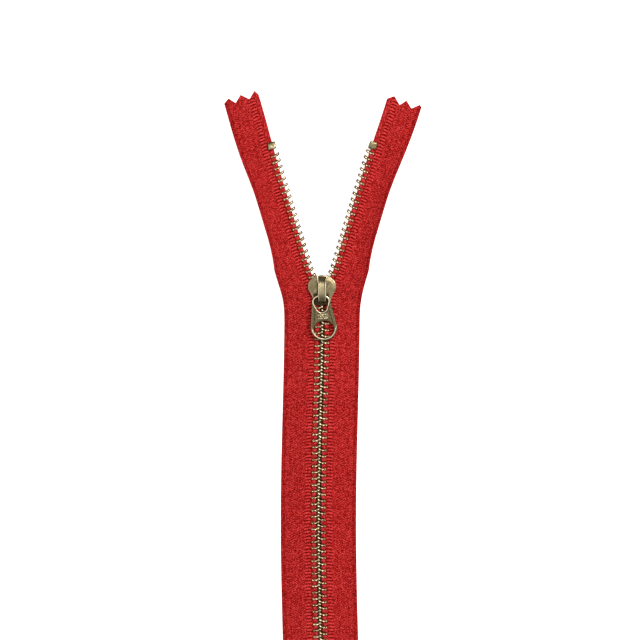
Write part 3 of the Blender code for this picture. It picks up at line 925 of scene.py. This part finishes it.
def joined(name, parts):
    """One object from several."""
    bpy.ops.object.select_all(action="DESELECT")
    for part in parts:
        part.select_set(True)
    bpy.context.view_layer.objects.active = parts[0]
    bpy.ops.object.join()
    parts[0].name = name
    return parts[0]


PLATE_DOME = 0.12
LUG_TOP = 6.15          # of the two lugs beside the crown's upper foot
LIP_TOP = 5.6           # of the lip over the slider's mouth


def slider_piece():
    """The slider's body: two plates, their flanges, the divider between them, and the lugs and lip on top."""
    parts = [slider_plate("top_plate", CHANNEL_TOP, PLATE_TOP - PLATE_DOME, PLATE_DOME),
             slider_plate("back_plate", 0.02, PLATE_BACK, 0.0)]
    for sign in (-1, 1):
        parts.append(bevelled("flange", *side_wall(sign), 0.1, 0.4))
    wedge = [(-1.3, 5.2), (-1.25, 4.6), (-0.3, 1.4), (0.3, 1.4), (1.25, 4.6), (1.3, 5.2)]
    parts.append(bevelled("divider", *prism(wedge, PLATE_BACK - 0.1, CHANNEL_TOP + 0.1), 0.15, 0.35))
    for sign in (-1, 1):
        rail = [(sign * 1.4, 2.3), (sign * 1.86, 2.3), (sign * 1.86, 5.0), (sign * 1.4, 5.0)]
        parts.append(bevelled("lug", *prism(rail, PLATE_TOP - 0.3, LUG_TOP), 0.14, 0.85))
    lip = [(-1.86, 4.75), (1.86, 4.75), (1.7, 5.12), (-1.7, 5.12)]
    parts.append(bevelled("lip", *prism(lip, PLATE_TOP - 0.3, LIP_TOP), 0.12, 0.8))
    return joined("slider_shell", parts)


# ---------------------------------------------------------------- build the pieces

def rides(piece, body, node):
    """The piece moves with one body and takes the place of one CAD node."""
    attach(piece, body)
    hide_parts(node)


def bends(piece, first, second, start, end, slot, nodes):
    """The piece stays where it lies, with its placement baked into its mesh, and takes the place of its CAD
    nodes. first, second, start, end and slot are not used.
    """
    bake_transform(piece)
    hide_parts(*nodes)


def straight_zone(first, second):
    """A bending zone on the centre line, between two places along it."""
    return (0.0, first * MM, TAPE_Z * MM), (0.0, second * MM, TAPE_Z * MM)


def lengths_of(word):
    """Each length of one tape: name, ends along it, the two bodies it bends between, where it bends, and the
    CAD nodes of its tape and of its teeth."""
    pivot = PIVOT_Y[word]
    joint = pivot + LENGTH
    top_zone = (place(word, BEAD_LINE, joint), place(word, BEAD_LINE, joint + 7))
    tail_zone = (place(word, BEAD_LINE, 59), place(word, BEAD_LINE, 64))
    return [
        ("tail", 58.0, TOP_END_Y[word], f"{word}_top", f"{word}_tail", tail_zone,
         [f"{word}_tail_tape"], []),
        ("top", 20.0, 58.0, f"{word}_arm", f"{word}_top", top_zone,
         [f"{word}_top_tape"], [f"{word}_top_teeth"]),
        ("arm", -28.0, 20.0, "closed_chain", f"{word}_arm", straight_zone(pivot, OPEN_END_Y),
         [f"{word}_arm_tape"], [f"{word}_arm_teeth"]),
        ("upper_stem", -75.0, -28.0, "closed_chain", "lower_chain", straight_zone(-43.7, -59.7),
         [f"stem_1_tape_{word}"], [f"stem_1_teeth_{word}"]),
        ("lower_stem", -130.0, -75.0, "lower_chain", "bottom_chain", straight_zone(-86.9, -110.9),
         [f"stem_2_tape_{word}"], [f"stem_2_teeth_{word}"]),
        ("bottom", BOTTOM_END_Y, -130.0, "bottom_chain", "bottom_tails", straight_zone(-148.9, -153.5),
         [f"stem_3_tape_{word}", f"bottom_tail_{word}"], [f"stem_3_teeth_{word}"]),
    ]


def build_tapes():
    for word in SIDES:
        for part, low, high, first, second, zone, tape_nodes, teeth_nodes in lengths_of(word):
            tape = tape_piece(f"{word}_{part}_cloth", word, low, high, part == "bottom", part == "tail")
            bends(tape, first, second, *zone, "tape", tape_nodes)
            if teeth_nodes:
                teeth = teeth_piece(f"{word}_{part}_tooth_row", word, low, high)
                bends(teeth, first, second, *zone, "teeth", teeth_nodes)
        middle, half = (1.15, TOP_STOP_Y, 0.0), (1.5, 1.37, 1.35)
        stop = rounded_block(f"{word}_stop", word, middle, half, SLIDER_BRASS, 7.0, SIDES[word] + 3)
        rides(stop, f"{word}_top", f"{word}_top_stop")


def build_metal():
    middle, half = (0.0, BOTTOM_STOP_Y, 0.0), (2.65, 1.4, 1.4)
    stop = rounded_block("end_stop", "right", middle, half, TOOTH_BRASS, 4.0, 7)
    rides(stop, "bottom_chain", "bottom_stop")
    rides(slider_piece(), "slider", "slider_body")
    rides(strap_piece(), "slider", "crown")
    rides(pull_piece(), "pull", "pull_tab")
    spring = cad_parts["lock_spring"]
    spring.data.materials.clear()
    spring.data.materials.append(SLIDER_BRASS)
    store(spring, "wear_and_painted_light", np.full(len(spring.data.vertices), 0.2))


# ---------------------------------------------------------------- stage, in metres

FLOOR_REACH = 3.0
# The floor glows, painted light that washes out the shadows on it; the strip under the closed chain glows
# only DARK_SHARE as much, painted shade for the gaps between teeth.
FLOOR_GLOW = 0.8
DARK_SHARE = 0.03       # of that glow, in the strip under the closed chain
DARK_REACH = 0.010      # from the centre line to the strip's side
DARK_START, DARK_STOP = -0.150, 0.005
DARK_FADE = 0.001       # the glow changes this far to both sides of the strip's edge


def build_stage():
    """A white floor that glows, painted light that washes out shadows, except in a strip under the closed
    chain, which stays dim as painted shade for the gaps between teeth.
    """
    half = (DARK_REACH - DARK_FADE, DARK_REACH + DARK_FADE, FLOOR_REACH)
    across = [-x for x in half[::-1]] + list(half)
    along = [-FLOOR_REACH, DARK_START - DARK_FADE, DARK_START + DARK_FADE,
             DARK_STOP - DARK_FADE, DARK_STOP + DARK_FADE, FLOOR_REACH]
    places = [(x, y, 0) for y in along for x in across]
    count = len(across)
    starts = [row * count + column for row in range(len(along) - 1) for column in range(count - 1)]
    mesh = bpy.data.meshes.new("floor")
    mesh.from_pydata(places, [], [(n, n + 1, n + count + 1, n + count) for n in starts])
    painted_shade = [abs(x) < DARK_REACH and DARK_START < y < DARK_STOP for x, y, _ in places]
    glow = mesh.attributes.new("glow", "FLOAT", "POINT")
    glow.data.foreach_set("value", [DARK_SHARE if under else 1.0 for under in painted_shade])
    floor = bpy.data.objects.new("floor", mesh)
    bpy.context.scene.collection.objects.link(floor)
    floor.location.z = -0.05 * MM
    made, shader, add, link = new_material("white_floor")
    shader.inputs["Base Color"].default_value = (1, 1, 1, 1)
    shader.inputs["Emission Color"].default_value = (1, 1, 1, 1)
    lit = add("ShaderNodeAttribute", attribute_name="glow")
    strength = add("ShaderNodeMath", operation="MULTIPLY")
    link(lit, "Fac", strength, 0)
    strength.inputs[1].default_value = FLOOR_GLOW
    link(strength, "Value", shader, "Emission Strength")
    shader.inputs["Roughness"].default_value = 0.9
    shader.inputs["Specular IOR Level"].default_value = 0.0
    mesh.materials.append(made)


LIGHTS = (
    ("key", (0.30, 0.32, 0.85), 0.36, 6.6),     # name, place, size and power
    ("fill", (-0.4, -0.1, 0.85), 0.6, 1.2),
)
LIGHT_TARGET = (0, -0.01, 0)
WORLD_STRENGTH = 0.45


def add_area(name, location, size, power):
    data = bpy.data.lights.new(name, "AREA")
    data.shape = "SQUARE"
    data.size = size
    data.energy = power
    light = bpy.data.objects.new(name, data)
    light.location = location
    light.rotation_euler = (Vector(LIGHT_TARGET) - Vector(location)).to_track_quat("-Z", "Y").to_euler()
    bpy.context.scene.collection.objects.link(light)


def build_light():
    world = bpy.data.worlds.new("studio")
    world.use_nodes = True
    background = world.node_tree.nodes["Background"]
    background.inputs["Color"].default_value = (1, 1, 1, 1)
    background.inputs["Strength"].default_value = WORLD_STRENGTH
    bpy.context.scene.world = world
    for light in LIGHTS:
        add_area(*light)
    bpy.context.scene.view_settings.view_transform = "Standard"


PICTURE_WIDTH = 0.2276
PICTURE_CENTRE = (-0.00075, -0.01067)
CAMERA_DISTANCE = 1.4


def build_camera():
    """A camera that looks straight down and sees PICTURE_WIDTH of the tape's level."""
    data = bpy.data.cameras.new("camera")
    data.sensor_width = 36.0
    data.lens = data.sensor_width * CAMERA_DISTANCE / PICTURE_WIDTH
    data.clip_end = 10
    camera = bpy.data.objects.new("camera", data)
    camera.location = (*PICTURE_CENTRE, CAMERA_DISTANCE + TAPE_Z * MM)
    bpy.context.scene.collection.objects.link(camera)
    bpy.context.scene.camera = camera


build_camera()
build_tapes()
build_metal()
build_stage()
build_light()
